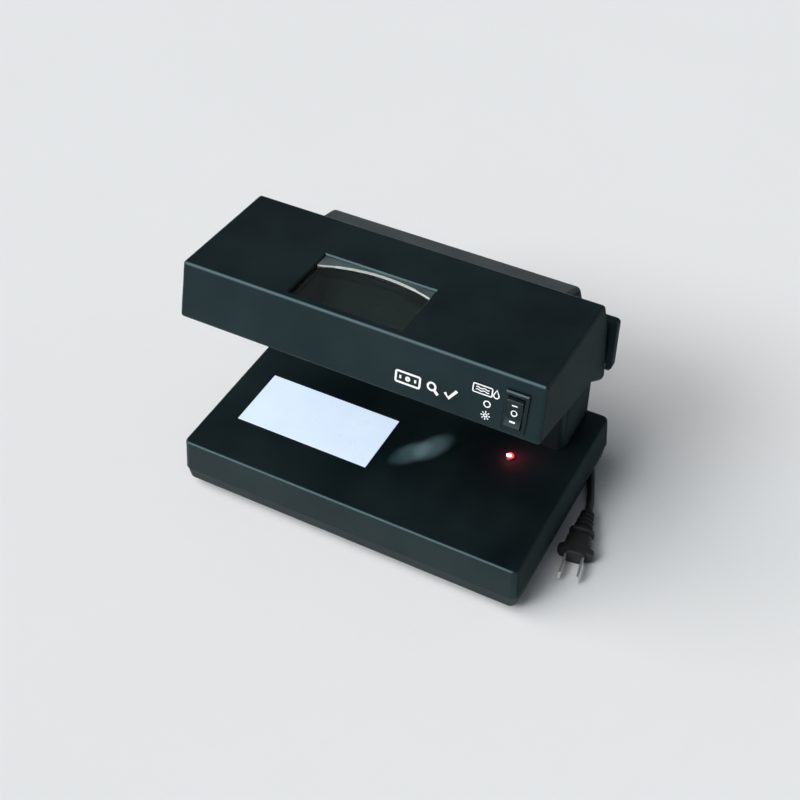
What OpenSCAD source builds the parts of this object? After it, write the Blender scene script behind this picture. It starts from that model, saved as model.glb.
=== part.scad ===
// Desktop banknote checker: a flat base with a lit watermark window, a rear
// column, and an overhanging head with ultraviolet tubes, a reading magnifier,
// a three-position rocker switch and a magnetic-ink sensor.
// Inside on_deck() the zero point is the middle of the deck's front edge:
// x runs right, y runs back and z is the height above the deck.

/* [Base] */
// Width of the deck
deck_w = 266; // [240:1:290]
// Depth of the deck
deck_d = 168; // [160:1:180]
// Height of the deck above the table
deck_z = 44; // [40:1:50]
// Height of the upper base shell, deck to parting line
shell_h = 26; // [24:1:28]
// Height of the bottom tray
tray_h = 11; // [10:1:13]
// Outward flare of the base walls at the parting line
flare = 1.5; // [0.5:0.1:2]
// Radius of the base's upright corners
corner_r = 5; // [4:0.5:7]
// Wall thickness of the moulded housings
wall = 2.5; // [2:0.1:3]

/* [Watermark window] */
// Width of the lit window
window_w = 108; // [90:1:112]
// Depth of the lit window
window_d = 53; // [40:1:56]
// Window centre, left of the middle
window_x = -57; // [-60:1:-54]
// Window centre, back from the deck's front edge
window_y = 65; // [60:1:70]

/* [Head] */
// Height of the head's front top edge above the deck
head_top = 147.6; // [140:0.1:150]
// Half width of the head at its top
head_half_w = 132; // [125:0.5:132]
// Radius of the head's edges
head_edge_r = 2.5; // [2:0.1:3]
// Width of the magnifier opening
lens_w = 83; // [70:1:84]
// Depth of the magnifier opening
lens_d = 49; // [40:1:50]
// Radius of the lens dome
lens_dome_r = 230; // [200:1:260]

/* [Switch] */
// Width of the switch bezel
bezel_w = 16; // [15:0.5:17]
// Height of the switch bezel
bezel_h = 28; // [27:0.5:29]
// Width of the rocker
rocker_w = 10.8; // [10:0.1:11]

/* [Cord] */
// Diameter of the mains cord
cord_d = 6; // [5:0.5:6]
// Middle radius of the stored coil
coil_r = 35; // [33:1:36]

/* [Hidden] */

$fn = 32;
gap = 0.2;            // clearance between parts that fit together
eps = 0.05;           // overlap that keeps cuts clean
mid_y = deck_d / 2;
half_w = deck_w / 2;
half_d = deck_d / 2;
tray_z = -shell_h - tray_h;
tray_floor = tray_z + wall;
sensor_reach = 139;   // right face of the sensor housing
base_x = -(sensor_reach - half_w - flare) / 2;
shell_black = [0.13, 0.14, 0.15];
rubber_black = [0.08, 0.08, 0.08];
steel_grey = [0.72, 0.73, 0.75];

// Head side profile, [y, z, edge radius] at the middle of each rounded edge
head_front_low = [20.2, 108.3, head_edge_r];
head_front_top = [28.9, head_top - head_edge_r, head_edge_r];
head_back_top = [121.0, 138.7, head_edge_r];
head_back_mid = [128.3, 118.5, head_edge_r];
head_back_low = [131.6, 88.0, head_edge_r];
head_knee = [108.2, 87.5, head_edge_r];
head_heel = [132.0, 72.0, 5];

// Slopes of the head's front and top, in degrees
front_lean = 12.2;
top_tilt = 3.88;
lens_at = [-12.5, 57.5, 145.45];
lens_apex = 2;        // how far the dome's top lies below the head's top
lens_base = 12;       // how far the lens's flat face lies below it
switch_at = [114.3, 21.15, 124.8];
pivot_depth = 1.5;
well_w = rocker_w + 0.6;
well_h = 22.6;
rocker_r = 11;

tube_r = 8;           // T5 fluorescent tubes
cap_l = 11;
pin_l = 4.5;
pin_r = 1.2;
white_at = [-55, window_y, -18.5];
white_l = 136;
uv_l = 212;
uv_rows = [[94.5, 101.5], [112.0, 99.0]];

foot_at = [[-108, 20], [108, 20], [-108, 150], [108, 150]];
base_screw_at = [[-122, 12], [122, 12], [-122, 134], [122, 134]];
board_at = [72, 80];
board_size = [80, 60, 1.6];
board_z = -28;
board_post_at = [[36, 54], [108, 54], [36, 106], [108, 106]];
led_at = [84.5, 96.5];
column_screw_at = [[-104, 124.5], [104, 124.5], [-104, 162], [104, 162]];
cover_screw_at = [[-87, 12], [87, 12], [-87, 96], [87, 96]];
neck_screw_at = [[-70, 84, 134.4], [70, 84, 134.4], [-70, 106, 131.4], [70, 106, 131.4]];
head_screw_at = [[-126, 32], [126, 32], [-126, 101], [126, 101]];
sensor_screw_at = [[120, 88], [120, 112]];
harness_hole = [92, 97];
relief_at = [11 - base_x, 21];

module on_deck() translate([base_x, -mid_y, deck_z]) children();

// A screw that points along +z, with its head's underside at z = 0
module screw(shaft_r, shaft_l, head_r, head_h) {
    cylinder(h = shaft_l, r = shaft_r);
    difference() {
        translate([0, 0, -head_h]) cylinder(h = head_h + eps, r1 = head_r * 0.8, r2 = head_r);
        translate([-head_r, -0.4, -head_h - eps]) cube([2 * head_r, 0.8, 0.7]);
    }
}

// Slab standing on z = 0, its walls leaning in to the given top size,
// with rounded upright corners and a rounded top edge
module soft_slab(foot_half, top_half, h, edge_r) {
    hull() for (sx = [-1, 1], sy = [-1, 1]) {
        translate([sx * (foot_half.x - corner_r), sy * (foot_half.y - corner_r), 0])
            cylinder(h = eps, r = corner_r);
        for (a = [0 : 18 : 90])
            translate([sx * (top_half.x - corner_r), sy * (top_half.y - corner_r),
                       h - edge_r + edge_r * sin(a) - eps])
                cylinder(h = eps, r = corner_r - edge_r + edge_r * cos(a));
    }
}

module block(size, at) translate([at.x - size.x / 2, at.y - size.y / 2, at.z]) cube(size);

// Prism of a side profile given in y and z, centred on x
module side_prism(w, points)
    rotate([90, 0, 90]) translate([0, 0, -w / 2]) linear_extrude(w) polygon(points);

module base_shell() {
    color(shell_black) on_deck() difference() {
        union() {
            difference() {
                translate([0, mid_y, -shell_h])
                    soft_slab([half_w + flare, half_d + flare], [half_w, half_d], shell_h, 2);
                block([deck_w - 2 * wall, deck_d - 2 * wall, shell_h], [0, mid_y, -shell_h - wall]);
            }
            for (p = base_screw_at) translate([p.x, p.y, -30])
                cylinder(h = 30 - wall + eps, r = 4.5);
        }
        block([window_w, window_d, 10], [window_x, window_y, -6]);
        translate([led_at.x, led_at.y, -6]) cylinder(h = 10, r = 3.2);
        block([150, 20, 10], [0, 144, -6]);
        for (p = column_screw_at) translate([p.x, p.y, -6]) cylinder(h = 10, r = 1.7);
        for (p = base_screw_at) translate([p.x, p.y, -31]) cylinder(h = 22, r = 1.4);
        translate([relief_at.x, deck_d - 10, relief_at.y - 37]) rotate([-90, 0, 0])
            cylinder(h = 20, r = 6);
    }
}

module base_tray() {
    color(shell_black) on_deck() difference() {
        union() {
            difference() {
                translate([0, mid_y, -shell_h - gap]) mirror([0, 0, 1])
                    soft_slab([half_w + flare - 0.4, half_d + flare - 0.4], [half_w, half_d],
                              tray_h - gap, 1.5);
                block([257.4, 159.4, 20], [0, mid_y, tray_floor]);
            }
            difference() {
                block([260.4, 162.4, 3], [0, mid_y, -shell_h - 1.2]);
                block([257.4, 159.4, 6], [0, mid_y, -shell_h - 2]);
            }
            for (p = base_screw_at) translate([p.x, p.y, tray_floor - eps])
                cylinder(h = -30 - gap - tray_floor, r = 4.5);
            for (p = board_post_at) translate([p.x, p.y, tray_floor - eps])
                cylinder(h = board_z - gap - tray_floor, r = 3);
        }
        for (p = base_screw_at) translate([p.x, p.y, tray_z - 1]) {
            cylinder(h = 10, r = 1.7);
            cylinder(h = 4, r = 3.8);
        }
        for (p = foot_at) translate([p.x, p.y, tray_z - 1]) {
            cylinder(h = 2.5, r = 8.2);
            cylinder(h = 6, r = 2.1);
        }
        for (p = board_post_at) translate([p.x, p.y, tray_floor + 1]) cylinder(h = 10, r = 1);
        for (i = [0 : 7]) block([3.2, 34, 6], [44 + 8 * i, 80, tray_z - 1]);
    }
}

module rubber_feet() {
    color(rubber_black) on_deck() for (p = foot_at) translate([p.x, p.y, -deck_z]) {
        cylinder(h = 1, r1 = 7.2, r2 = 8);
        translate([0, 0, 1 - eps]) cylinder(h = 7.3, r = 8);
        translate([0, 0, 8]) cylinder(h = 3, r = 2);
    }
}

module base_screws() {
    color(steel_grey) on_deck() for (p = base_screw_at)
        translate([p.x, p.y, tray_z + 2.9]) screw(1.3, 18, 3.4, 2.2);
}

module watermark_window() {
    color([0.93, 0.96, 1]) on_deck() translate([window_x, window_y, 0]) {
        block([window_w - 0.4, window_d - 0.4, 2.4 + eps], [0, 0, -2.6 - eps]);
        block([window_w + 6, window_d + 6, 1.6], [0, 0, -4.2]);
    }
}

module window_reflector() {
    color("white") on_deck() difference() {
        block([window_w + 8, window_d + 8, 25.6], [window_x, window_y, -30]);
        block([window_w + 6, window_d + 6, 26], [window_x, window_y, -29]);
        translate([white_at.x - 70, white_at.y, white_at.z]) rotate([0, 90, 0])
            cylinder(h = 140, r = tube_r + 0.6);
    }
}

// Glass of a fluorescent tube along x, centred on the origin
module tube_glass(length) rotate([0, 90, 0])
    cylinder(h = length - 2 * cap_l - 2 * gap, r = tube_r - 0.2, center = true);

// The two metal caps of a tube, with two pins each
module tube_caps(length) for (s = [-1, 1]) scale([s, 1, 1])
    translate([length / 2 - cap_l, 0, 0]) rotate([0, 90, 0]) {
        cylinder(h = cap_l, r = tube_r);
        for (t = [-1, 1]) translate([0, 2.5 * t, cap_l - eps]) cylinder(h = pin_l, r = pin_r);
    }

// Two lamp holders for a tube along x; they stand on, or hang from, foot_z
module tube_holders(length, foot_z) for (s = [-1, 1]) scale([s, 1, 1]) difference() {
    translate([length / 2 + gap, -7, min(foot_z, -8)])
        cube([5, 14, max(foot_z, 8) - min(foot_z, -8)]);
    translate([length / 2, 0, 0]) rotate([0, 90, 0])
        for (t = [-1, 1]) translate([0, 2.5 * t, -1]) cylinder(h = pin_l + 1.4, r = pin_r + gap);
}

module white_tube() color([0.95, 0.97, 1]) on_deck() translate(white_at) tube_glass(white_l);

module white_tube_caps() color(steel_grey) on_deck() translate(white_at) tube_caps(white_l);

module white_lamp_holders() {
    color("ivory") on_deck() translate(white_at)
        tube_holders(white_l, tray_floor + gap - white_at.z);
}

module ballast_board() {
    color([0.1, 0.35, 0.18]) on_deck() difference() {
        block(board_size, [board_at.x, board_at.y, board_z]);
        for (p = board_post_at) translate([p.x, p.y, board_z - 1]) cylinder(h = 4, r = 1.3);
    }
}

module ballast_choke() {
    color([0.45, 0.4, 0.33]) on_deck() translate([54, 84, board_z + board_size.z + gap]) {
        block([20, 24, 14], [0, 0, 0]);
        block([26, 14, 10], [0, 0, 2]);
    }
}

module ballast_capacitors() {
    color([0.16, 0.22, 0.4]) on_deck() for (p = [[80, 64, 5, 16], [94, 64, 5, 16], [62, 62, 4, 12]])
        translate([p.x, p.y, board_z + board_size.z + gap]) cylinder(h = p[3], r = p[2]);
}

module board_screws() {
    color(steel_grey) on_deck() for (p = board_post_at)
        translate([p.x, p.y, board_z + board_size.z + gap]) mirror([0, 0, 1])
            screw(0.9, 5, 2.4, 1.6);
}

module warning_buzzer() {
    color(rubber_black) on_deck() translate([100, 84, board_z + board_size.z + gap])
        difference() {
            cylinder(h = 8, r = 6);
            translate([0, 0, 7]) cylinder(h = 2, r = 1);
        }
}

module indicator_led() {
    color([0.9, 0.1, 0.08]) on_deck() translate([led_at.x, led_at.y, 0]) {
        translate([0, 0, -7.5]) cylinder(h = 1, r = 2.9);
        translate([0, 0, -7]) cylinder(h = 7.6, r = 2.5);
        translate([0, 0, 0.6]) sphere(r = 2.5);
        for (s = [-1, 1]) translate([1.27 * s, 0, board_z + board_size.z + gap])
            cylinder(h = -7.4 - board_z - board_size.z - gap, r = 0.3);
    }
}

module led_collar() {
    color(rubber_black) on_deck() translate([led_at.x, led_at.y, 0]) difference() {
        union() {
            translate([0, 0, -5]) cylinder(h = 5.5, r = 3.05);
            translate([0, 0, gap / 2]) cylinder(h = 0.8, r1 = 4.4, r2 = 3.9);
        }
        translate([0, 0, -6]) cylinder(h = 9, r = 2.65);
    }
}

// Space that the column leaves for the head's back and heel
module head_clearance() {
    side_prism(300, [[117, 76.2], [128.8, 66.9], [131, 66.2], [134.5, 66.6], [137.2, 69.2],
                     [137.8, 73], [131.6, 119.2], [129.6, 125.2], [129.6, 160], [90, 160],
                     [90, 76.2]]);
}

module column_shell() {
    color(shell_black) on_deck() difference() {
        union() {
            difference() {
                hull() for (s = [-1, 1]) {
                    translate([111 * s, 164.5, 0.1]) cylinder(h = 45, r = 5);
                    translate([111 * s, 123, 0.1]) cylinder(h = 45, r = 5);
                    translate([95.5 * s, 165, 107.2]) sphere(r = 4.5);
                    translate([92 * s, 130, 119.6]) sphere(r = 4.5);
                }
                head_clearance();
                intersection() {
                    side_prism(250, [[120.5, -1], [120.5, 63.4], [140.4, 63.4], [140.4, 75],
                                     [134.3, 119], [134.3, 120.6], [166.5, 109.2], [166.5, -1]]);
                    rotate([90, 0, 0]) translate([0, 0, -180]) linear_extrude(80)
                        polygon([[-113, -1], [113, -1], [113, 45], [96, 112], [-96, 112],
                                 [-113, 45]]);
                }
            }
            for (p = column_screw_at) translate([p.x, p.y, 0.1]) cylinder(h = 14, r = 5);
            for (p = cover_screw_at) translate([p.x, 158, p.y]) rotate([-90, 0, 0])
                cylinder(h = 9, r = 3.5);
            for (p = neck_screw_at) translate([p.x, 133.4, p.y]) rotate([-90, 0, 0])
                cylinder(h = 8.6, r = 4);
        }
        block([172, 12, 82], [0, 168, 13]);
        block([184, 4, 96], [0, 169.5, 6]);
        head_clearance();
        for (p = column_screw_at) translate([p.x, p.y, -1]) cylinder(h = 13, r = 1.4);
        for (p = cover_screw_at) translate([p.x, 159.5, p.y]) rotate([-90, 0, 0])
            cylinder(h = 12, r = 1.4);
        for (p = neck_screw_at) translate([p.x, 128, p.y]) rotate([-90, 0, 0])
            cylinder(h = 20, r = 1.7);
        translate([harness_hole.x, 125, harness_hole.y]) rotate([-90, 0, 0])
            cylinder(h = 20, r = 5);
    }
}

module column_cover() {
    color(shell_black) on_deck() difference() {
        block([183.4, 1.7, 95.4], [0, 168.45, 6.3]);
        for (p = cover_screw_at) translate([p.x, 160, p.y]) rotate([-90, 0, 0]) {
            cylinder(h = 12, r = 1.7);
            translate([0, 0, 8.3]) cylinder(h = 4, r = 2.9);
        }
        for (i = [0 : 8]) block([3, 6, 30], [-48 + 12 * i, 168.5, 52]);
    }
}

module column_cover_screws() {
    color(steel_grey) on_deck() for (p = cover_screw_at)
        translate([p.x, 168.37, p.y]) rotate([90, 0, 0]) screw(1.3, 8, 2.7, 0.9);
}

module column_foot_screws() {
    color(steel_grey) on_deck() for (p = column_screw_at)
        translate([p.x, p.y, -wall - gap]) screw(1.3, 12, 3, 1.8);
}

module neck_screws() {
    color(steel_grey) on_deck() for (p = neck_screw_at)
        translate([p.x, 142.2, p.y]) rotate([90, 0, 0]) screw(1.3, 20, 3, 1.8);
}

// Two equal balls, left and right, whose middle lies on the head's side profile
module profile_balls(edge) {
    side = head_half_w + (head_top - edge[1]) * 0.029 - edge[2];
    for (s = [-1, 1]) translate([s * side, edge[0], edge[1]]) sphere(r = edge[2], $fn = 24);
}

module head_outside() {
    hull() for (edge = [head_front_low, head_front_top, head_back_top, head_back_mid,
                        head_back_low, head_knee]) profile_balls(edge);
    hull() for (edge = [head_knee, head_back_mid, head_back_low, head_heel]) profile_balls(edge);
}

module in_lens_frame() translate(lens_at) rotate([-top_tilt, 0, 0]) children();

module in_switch_frame() translate(switch_at) rotate([90 - front_lean, 0, 0]) children();

module head_shell() {
    color(shell_black) on_deck() difference() {
        union() {
            difference() {
                head_outside();
                side_prism(259, [[19.4, 103.8], [19.4, 60], [134.4, 60], [134.4, 72],
                                 [128.3, 118.2], [121.2, 138.4], [28.6, 144.9]]);
            }
            for (p = head_screw_at) translate([p.x, p.y, 117 - 0.2365 * p.y])
                cylinder(h = 14, r = 5);
            for (p = neck_screw_at) translate([p.x, 121.5, p.y]) rotate([-90, 0, 0])
                cylinder(h = p.z - 121.5, r = 4);
        }
        in_lens_frame() {
            block([lens_w, lens_d, 12], [0, 0, -8]);
            hull() {
                block([lens_w + 2.4, lens_d + 2.4, eps], [0, 0, 0.3]);
                block([lens_w, lens_d, eps], [0, 0, -0.9]);
            }
        }
        in_switch_frame() block([13.6, 24, 12], [0, 0, -8]);
        for (p = head_screw_at) translate([p.x, p.y, 100 - 0.2365 * p.y])
            cylinder(h = 28, r = 1.4);
        for (p = neck_screw_at) translate([p.x, 120, p.y]) rotate([-90, 0, 0])
            cylinder(h = 20, r = 1.4);
        for (p = sensor_screw_at) translate([p.x, 120, p.y]) rotate([-90, 0, 0])
            cylinder(h = 20, r = 1.4);
        translate([harness_hole.x, 125, harness_hole.y]) rotate([-90, 0, 0])
            cylinder(h = 20, r = 5);
    }
}

module head_underside() {
    color(shell_black) on_deck() difference() {
        side_prism(258.4, [[20.1, 106.1], [107.2, 85.5], [129.8, 67.9], [134.1, 67.9],
                           [134.1, 70.9], [130.9, 70.9], [107.9, 88.6], [20.8, 108.8]]);
        in_lens_frame() block([lens_w, lens_d, 60], [0, 0, -70]);
        block([216, 31, 60], [0, 103.5, 50]);
        for (p = head_screw_at) translate([p.x, p.y, 60]) cylinder(h = 60, r = 1.7);
    }
}

module head_screws() {
    color(steel_grey) on_deck() for (p = head_screw_at)
        translate([p.x, p.y, 108.6 - 0.2365 * p.y]) screw(1.3, 18, 3, 1.6);
}

// Bent sheet over the two ultraviolet tubes, open below
module uv_reflector() {
    color("white") on_deck() side_prism(206, [
        [85.2, 96.2], [85.2, 108], [89.2, 112.6], [117, 112.6], [121.1, 108], [121.1, 84],
        [120.3, 84], [120.3, 107.6], [116.6, 111.8], [89.6, 111.8], [86, 107.6], [86, 96.2]
    ]);
}

module uv_tubes() {
    color([0.35, 0.3, 0.75]) on_deck() for (row = uv_rows)
        translate([0, row[0], row[1]]) tube_glass(uv_l);
}

module uv_tube_caps() {
    color(steel_grey) on_deck() for (row = uv_rows)
        translate([0, row[0], row[1]]) tube_caps(uv_l);
}

module uv_lamp_holders() {
    color("ivory") on_deck() for (row = uv_rows)
        translate([0, row[0], row[1]]) tube_holders(uv_l, 14);
}

module magnifier_lens() {
    color([0.75, 0.8, 0.75, 0.5]) on_deck() in_lens_frame() intersection() {
        block([lens_w - 0.4, lens_d - 0.4, 20], [0, 0, -lens_base]);
        translate([0, 0, -lens_apex - lens_dome_r]) sphere(r = lens_dome_r, $fn = 96);
    }
}

module lens_shroud() {
    color(rubber_black) on_deck() intersection() {
        in_lens_frame() difference() {
            union() {
                difference() {
                    block([lens_w + 3, lens_d + 3, 70], [0, 0, -70 - wall - 0.4]);
                    block([lens_w, lens_d, 90], [0, 0, -80]);
                }
                difference() {
                    block([lens_w + 1, lens_d + 1, 1.6], [0, 0, -lens_base - 1.8]);
                    block([lens_w - 3, lens_d - 3, 10], [0, 0, -lens_base - 5]);
                }
            }
        }
        side_prism(200, [[20, 109.2], [107.6, 88.9], [107.6, 138], [28, 146]]);
    }
}

module switch_housing() {
    color(rubber_black) on_deck() in_switch_frame() difference() {
        union() {
            hull() {
                block([bezel_w, bezel_h, 0.7], [0, 0, gap / 2]);
                block([bezel_w - 1.8, bezel_h - 1.8, eps], [0, 0, 1.7]);
            }
            block([13, 23.4, 19], [0, 0, -18.5]);
        }
        block([well_w, well_h, 15], [0, 0, -12]);
        translate([0, 0, -pivot_depth]) rotate([0, 90, 0])
            cylinder(h = 12.4, r = 1.3, center = true);
    }
}

module switch_rocker() {
    color([0.1, 0.1, 0.1]) on_deck() in_switch_frame() translate([0, 0, -pivot_depth]) {
        intersection() {
            side_prism(rocker_w, [[-10.6, -3.4], [-5, -8], [5, -8], [10.6, -3.4], [10.6, 5.3],
                                  [9.6, 5.6], [0, 3.6], [-9.6, 5.6], [-10.6, 5.3]]);
            rotate([0, 90, 0]) cylinder(h = 20, r = rocker_r, center = true);
        }
        rotate([0, 90, 0]) cylinder(h = 12, r = 1.25, center = true);
    }
}

module switch_terminals() {
    color([0.8, 0.66, 0.35]) on_deck() in_switch_frame() for (y = [-8, 0, 8])
        difference() {
            block([4.8, 0.8, 9], [0, y, -27.7]);
            translate([0, y, -25.4]) rotate([90, 0, 0]) cylinder(h = 4, r = 0.7, center = true);
        }
}

module sensor_housing() {
    color(shell_black) on_deck() difference() {
        hull() for (x = [115, sensor_reach - 3], z = [82, 118])
            translate([x, 131.4, z]) rotate([-90, 0, 0]) {
                cylinder(h = 6.4, r = 3);
                cylinder(h = 7.4, r = 2.2);
            }
        side_prism(268.6, [[100, 60], [137.6, 60], [137.6, 73], [131.5, 119], [124, 141],
                           [100, 141]]);
        block([3, 5.4, 9], [sensor_reach - 3, 134.6, 76]);
        for (p = sensor_screw_at) translate([p.x, 125, p.y]) rotate([-90, 0, 0]) {
            cylinder(h = 20, r = 1.7);
            translate([0, 0, 12.2]) cylinder(h = 9, r = 3.1);
        }
    }
}

module pickup_head() {
    color(steel_grey) on_deck() {
        block([2.8, 5.2, 7], [sensor_reach - 3, 134.6, 77.8]);
        block([1.6, 3, 1], [sensor_reach - 3, 134.6, 77]);
    }
}

module sensor_screws() {
    color(steel_grey) on_deck() for (p = sensor_screw_at)
        translate([p.x, 137.3, p.y]) rotate([90, 0, 0]) screw(1.3, 12, 2.8, 0.8);
}

// Tube of radius r swept along the points p, each ring square to the route
function unit(v) = v / norm(v);
function heading(p, i) = unit(p[min(i + 1, len(p) - 1)] - p[max(i - 1, 0)]);
function side_of(t) = unit(cross(t, abs(t.z) > 0.9 ? [0, 1, 0] : [0, 0, 1]));
function ring(p, i, r, n) = let (t = heading(p, i), a = side_of(t), b = cross(t, a))
    [for (k = [0 : n - 1]) p[i] + r * (cos(360 * k / n) * a + sin(360 * k / n) * b)];
module swept_tube(p, r, n = 8) {
    last = len(p) - 1;
    polyhedron(
        points = [for (i = [0 : last]) each ring(p, i, r, n)],
        faces = [
            [for (k = [0 : n - 1]) k],
            [for (k = [n - 1 : -1 : 0]) last * n + k],
            for (i = [0 : last - 1], k = [0 : n - 1]) each [
                [i * n + k, (i + 1) * n + k, i * n + (k + 1) % n],
                [i * n + (k + 1) % n, (i + 1) * n + k, (i + 1) * n + (k + 1) % n]
            ]
        ]);
}

lamp_lead = [[96, 108, -22], [96, 118, -19], [92, 130, -12], [74, 144, -6], [70, 146, 6],
             [72, 148, 22], [78, 151, 40], [86, 152, 60], [91, 151, 78], [92, 148, 90],
             [92, 141, 97], [92, 134, 97], [93, 126.5, 99], [97, 124.5, 109], [102, 114, 121],
             [108, 96, 130], [112, 78, 131], [114, 64, 130], [114, 56, 129]];
mains_lead = [[13, 161.7, -16], [14, 152, -17], [18, 140, -20], [26, 128, -22], [36, 120, -23],
              [46, 114, -22], [52, 106, -22]];

module wiring_harness() {
    color([0.3, 0.3, 0.32]) on_deck() {
        swept_tube(lamp_lead, 2);
        swept_tube(mains_lead, 2);
    }
}

// Cord route, in millimetres from the middle of the footprint on the table
cord_r = cord_d / 2;
coil_at = [-33, 161];
coil_half = 12;       // half the width of the coil's ring
exit_at = [11, 85.7, 28];
relief_l = 26;
lead_in = [[11, 111.7, 28], [11, 118, 27.6], [11, 125, 25.9], [11, 132, 22.9], [11, 139, 19.3],
           [11, 146, 15.8], [11, 153, 12.9], [11, 160.9, 10.6]];
lead_out = [[-32.9, 120.5, 3], [-20, 120.2, 3], [-6, 120, 3], [8, 119.9, 3], [24, 119.8, 3],
            [40, 119.6, 3], [56, 119.1, 3], [72, 117.4, 3], [86, 113.8, 3],
            [98, 108, 3], [107.6, 100, 3], [115, 90, 3], [121, 79, 3], [126.2, 68, 3],
            [130.7, 57.4, 3], [134.7, 47, 3], [138, 38, 3.2], [140.8, 29.6, 4.6],
            [142.1, 24.8, 6.1], [143.1, 20.1, 7]];
plug_at = [143.1, 20, 7];
plug_turn = 9;        // how far the plug points right of straight ahead

module strain_relief() {
    color(rubber_black) difference() {
        translate([exit_at.x, 0, exit_at.z]) rotate([-90, 0, 0]) {
            translate([0, 0, 78]) cylinder(h = 3, r = 8);
            translate([0, 0, 80]) cylinder(h = 7, r = 5.8);
            translate([0, 0, exit_at.y + gap]) cylinder(h = 3, r = 7);
            translate([0, 0, exit_at.y + 3]) cylinder(h = relief_l - 3, r1 = 5.4, r2 = 3.8);
        }
        for (i = [0 : 4]) translate([exit_at.x, exit_at.y + 6 + 4 * i, exit_at.z])
            rotate([-90, 0, 0]) difference() {
                cylinder(h = 1.6, r = 8);
                translate([0, 0, -1]) cylinder(h = 4, r = 3.4);
            }
    }
}

module cord_to_coil() color(rubber_black) swept_tube(lead_in, cord_r, 10);

module cord_coil() {
    color(rubber_black) translate([coil_at.x, coil_at.y, 0]) rotate_extrude($fn = 64)
        translate([coil_r, cord_d]) offset(delta = 1.5, chamfer = true)
            square([2 * coil_half - 3, 2 * cord_d - 3], center = true);
}

// Strap round the coil's left side
module coil_tie() {
    color([0.2, 0.2, 0.21]) translate([coil_at.x - coil_r, coil_at.y, 0]) difference() {
        block([2 * coil_half + 4, 8, 13.6], [0, 0, 0]);
        block([2 * coil_half + 0.6, 10, 12.2], [0, 0, -eps]);
    }
}

module cord_to_plug() color(rubber_black) swept_tube(lead_out, cord_r, 10);

module in_plug_frame() translate(plug_at) rotate([0, 0, plug_turn - 180]) children();

module plug_body() {
    color(rubber_black) in_plug_frame() difference() {
        union() {
            rotate([-90, 0, 0]) {
                cylinder(h = 17, r1 = 4.4, r2 = 6);
                for (i = [0 : 3]) translate([0, 0, 1 + 4 * i]) cylinder(h = 2, r = 5 + 0.45 * i);
            }
            hull() {
                block([17, 2.4, 12], [0, 20.4, -6]);
                block([13, 5, 11], [0, 19.4, -5.5]);
            }
            hull() {
                block([13, 1, 11], [0, 21, -5.5]);
                block([22, 4, 14], [0, 32.5, -7]);
            }
            hull() {
                block([26.6, 5, 12.4], [0, 38.8, -6.2]);
                block([22, 12, 14], [0, 35, -7]);
            }
            block([14, 3.4, 12], [0, 42.6, -6]);
        }
        for (s = [-1, 1]) block([2.1, 14, 6.9], [6.35 * s, 39, -3.45]);
    }
}

module plug_blades() {
    color(steel_grey) in_plug_frame() for (s = [-1, 1]) difference() {
        block([1.5, 29, 6.3], [6.35 * s, 48, -3.15]);
        translate([6.35 * s, 59.2, 0]) rotate([0, 90, 0]) cylinder(h = 4, r = 1.6, center = true);
    }
}

base_shell();
base_tray();
rubber_feet();
base_screws();
watermark_window();
window_reflector();
white_tube();
white_tube_caps();
white_lamp_holders();
ballast_board();
ballast_choke();
ballast_capacitors();
board_screws();
warning_buzzer();
indicator_led();
led_collar();
column_shell();
column_cover();
column_cover_screws();
column_foot_screws();
neck_screws();
head_shell();
head_underside();
head_screws();
uv_reflector();
uv_tubes();
uv_tube_caps();
uv_lamp_holders();
magnifier_lens();
lens_shroud();
switch_housing();
switch_rocker();
switch_terminals();
sensor_housing();
pickup_head();
sensor_screws();
wiring_harness();
strain_relief();
cord_to_coil();
cord_coil();
coil_tie();
cord_to_plug();
plug_body();
plug_blades();
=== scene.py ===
import math

import bpy
from mathutils import Matrix, Vector


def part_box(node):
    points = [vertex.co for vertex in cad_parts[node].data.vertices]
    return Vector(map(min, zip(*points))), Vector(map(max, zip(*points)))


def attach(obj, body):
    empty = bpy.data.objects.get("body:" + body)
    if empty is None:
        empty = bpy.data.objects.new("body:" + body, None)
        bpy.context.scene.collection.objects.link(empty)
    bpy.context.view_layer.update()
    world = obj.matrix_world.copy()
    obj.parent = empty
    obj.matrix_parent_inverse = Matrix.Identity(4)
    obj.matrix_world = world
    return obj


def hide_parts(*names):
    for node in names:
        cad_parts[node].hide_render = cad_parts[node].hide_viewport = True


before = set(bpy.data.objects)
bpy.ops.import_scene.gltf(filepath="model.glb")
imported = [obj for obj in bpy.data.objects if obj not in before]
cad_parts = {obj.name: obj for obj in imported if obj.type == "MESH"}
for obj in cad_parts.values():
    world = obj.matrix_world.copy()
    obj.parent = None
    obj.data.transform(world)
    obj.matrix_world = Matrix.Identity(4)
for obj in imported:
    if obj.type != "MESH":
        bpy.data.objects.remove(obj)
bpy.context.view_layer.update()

MM = 0.001

# Places and sizes that part.scad also has, in metres
DECK_Z = 0.044
LENS_AT = Vector((-0.01475, -0.0265, 0.18945))
LENS_HALF = (0.0413, 0.0243)         # half its width and depth
LENS_BASE = -0.012           # the lens's flat face, below the head's top
TOP_TILT = math.radians(3.88)
SWITCH_AT = Vector((0.11205, -0.06285, 0.1688))
FRONT_LEAN = math.radians(12.2)
ROCKER_PIVOT = -0.0015
ROCKER_DISH = 0.0036         # rocker's face above its pivot, at the middle
ROCKER_SLOPE = 2.0 / 9.6     # rise of that face towards each end
PLUG_AT = Vector((0.1431, 0.0200, 0.007))
PLUG_TURN = math.radians(9 - 180)

# The drawn lens has a flatter dome than the CAD lens, nearer the head's top
LENS_DOME_R = 0.500
LENS_APEX = -0.0008

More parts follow.
